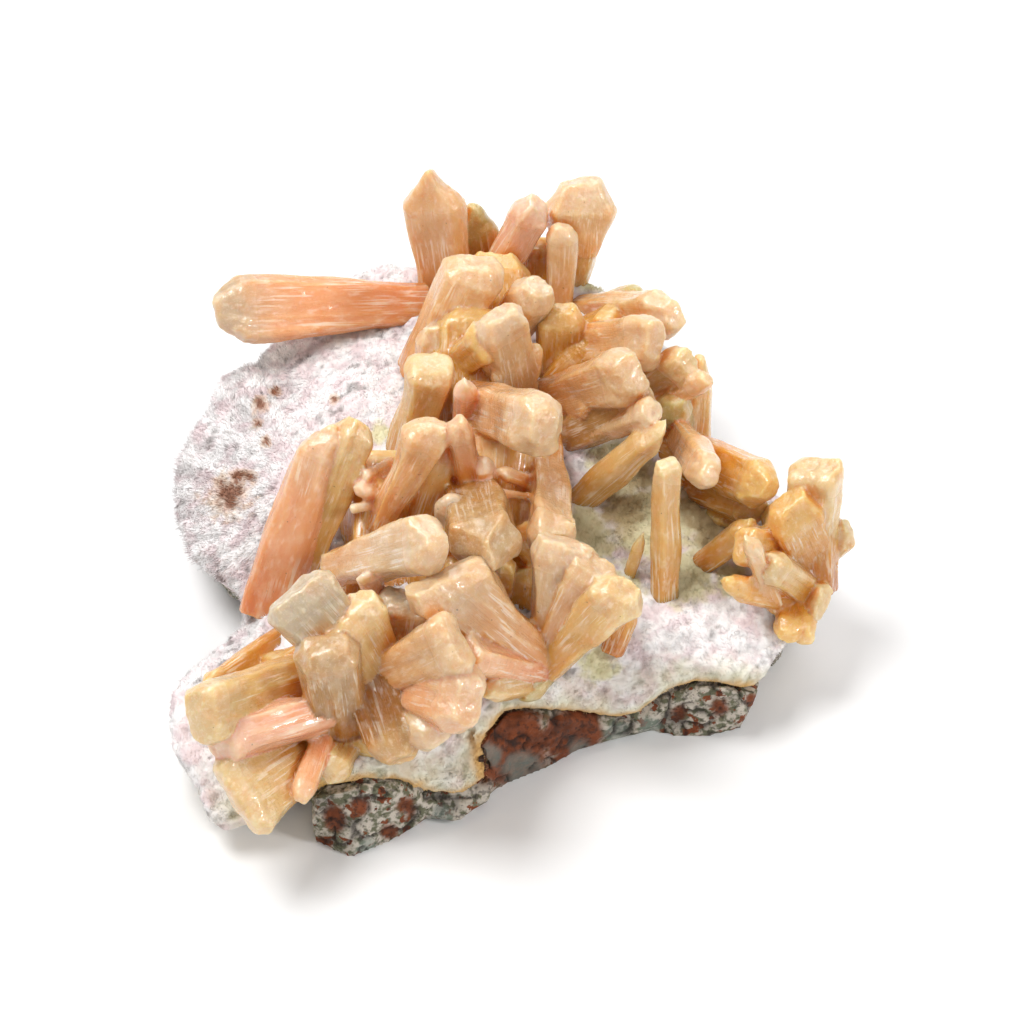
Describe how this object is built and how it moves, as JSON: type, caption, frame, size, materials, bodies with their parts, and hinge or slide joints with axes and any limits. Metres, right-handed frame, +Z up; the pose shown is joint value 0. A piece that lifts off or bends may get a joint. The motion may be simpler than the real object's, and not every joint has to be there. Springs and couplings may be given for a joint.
{
  "type": "stilbite with mordenite mineral specimen",
  "caption": "Hand-sized mineral specimen: peach stilbite blades and bow-tie sheaves standing on a furry white mordenite crust over a slab of basalt.",
  "frame": {"origin": "a point on the flat underside of the basalt, near the middle of the specimen", "axes": "+Z up from the flat underside, -Y towards the broken front edge where the basalt shows, +X to the right seen from the front"},
  "size_m": [0.0872, 0.0959, 0.0404],
  "materials": {
    "basalt": "matte",
    "mordenite": "matte",
    "stilbite": "satin"
  },
  "bodies": {
    "root": {"basalt_matrix": "basalt", "mordenite_crust": "mordenite", "stilbite_cluster": "stilbite", "stilbite_left_blade": "stilbite", "stilbite_long_prism": "stilbite", "stilbite_needle": "stilbite", "stilbite_low_blade": "stilbite"}
  },
  "joints": []
}
